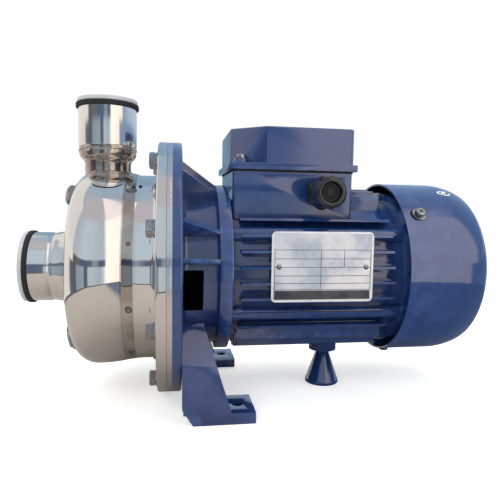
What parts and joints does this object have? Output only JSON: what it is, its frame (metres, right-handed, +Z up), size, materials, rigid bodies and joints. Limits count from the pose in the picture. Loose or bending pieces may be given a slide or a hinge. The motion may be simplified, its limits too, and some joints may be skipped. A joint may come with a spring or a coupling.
{
  "type": "self-priming pump",
  "caption": "Close-coupled centrifugal pump: round polished stainless casing with an end suction port and an upright discharge port, cast bracket and finned blue motor with terminal box.",
  "frame": {"origin": "midway between the two bracket foot holes, on the plane that the feet stand on", "axes": "+X along the shaft from the suction port to the fan, +Y away from the terminal box's cable gland, +Z up; the shaft line is 0.122 m above the origin"},
  "size_m": [0.43, 0.238, 0.2787],
  "materials": {
    "polished_stainless": "polished",
    "plated_screws": "satin",
    "blue_paint_steel": "gloss",
    "blue_paint_cast": "gloss",
    "black_plastic": "satin",
    "pale_plastic": "satin",
    "black_rubber": "matte",
    "machined_steel": "satin",
    "lamination_steel": "satin",
    "winding_copper": "gloss",
    "stud_brass": "satin",
    "seal_ceramic": "satin",
    "seal_carbon": "matte",
    "plate_aluminium": "satin"
  },
  "bodies": {
    "pump": {"casing_shell": "polished_stainless", "suction_socket": "polished_stainless", "discharge_socket": "polished_stainless", "casing_cover": "polished_stainless", "priming_plug": "plated_screws", "drain_plug": "plated_screws", "casing_bolts": "plated_screws", "casing_bolt_washers": "plated_screws", "cowl_screws": "plated_screws", "cowl_screw_washers": "plated_screws", "lid_screws": "plated_screws", "cone_foot_screw": "plated_screws", "tie_bolts": "plated_screws", "bracket": "blue_paint_cast", "motor_housing": "blue_paint_cast", "rear_end_shield": "blue_paint_cast", "terminal_box": "blue_paint_cast", "terminal_lid": "blue_paint_cast", "cone_foot": "blue_paint_cast", "fan_cowl": "blue_paint_steel", "gland_body": "black_plastic", "gland_nut": "black_plastic", "gland_plug": "black_plastic", "terminal_board": "black_plastic", "suction_rim_ring": "pale_plastic", "discharge_rim_ring": "pale_plastic", "suction_seal_ring": "black_rubber", "discharge_seal_ring": "black_rubber", "priming_plug_washer": "black_rubber", "drain_plug_washer": "black_rubber", "casing_o_ring": "black_rubber", "seal_seat_cup": "black_rubber", "lid_gasket": "black_rubber", "wear_ring": "machined_steel", "front_bearing_outer_ring": "machined_steel", "rear_bearing_outer_ring": "machined_steel", "wave_washer": "machined_steel", "stator_core": "lamination_steel", "stator_windings": "winding_copper", "terminal_studs": "stud_brass", "seal_seat": "seal_ceramic", "nameplate": "plate_aluminium", "nameplate_rivets": "plate_aluminium"},
    "rotor": {"shaft": "machined_steel", "impeller": "machined_steel", "impeller_key": "machined_steel", "impeller_nut": "plated_screws", "seal_rotating_ring": "seal_carbon", "seal_bellows": "black_rubber", "seal_spring": "machined_steel", "water_slinger": "black_rubber", "front_bearing_inner_ring": "machined_steel", "rear_bearing_inner_ring": "machined_steel", "rotor_core": "lamination_steel", "fan": "black_plastic", "fan_clip": "machined_steel"}
  },
  "joints": [
    {"name": "shaft_spin", "type": "hinge", "parent": "pump", "child": "rotor", "pos_m": [0, 0, 0.122], "axis": [1, 0, 0], "continuous": true}
  ]
}
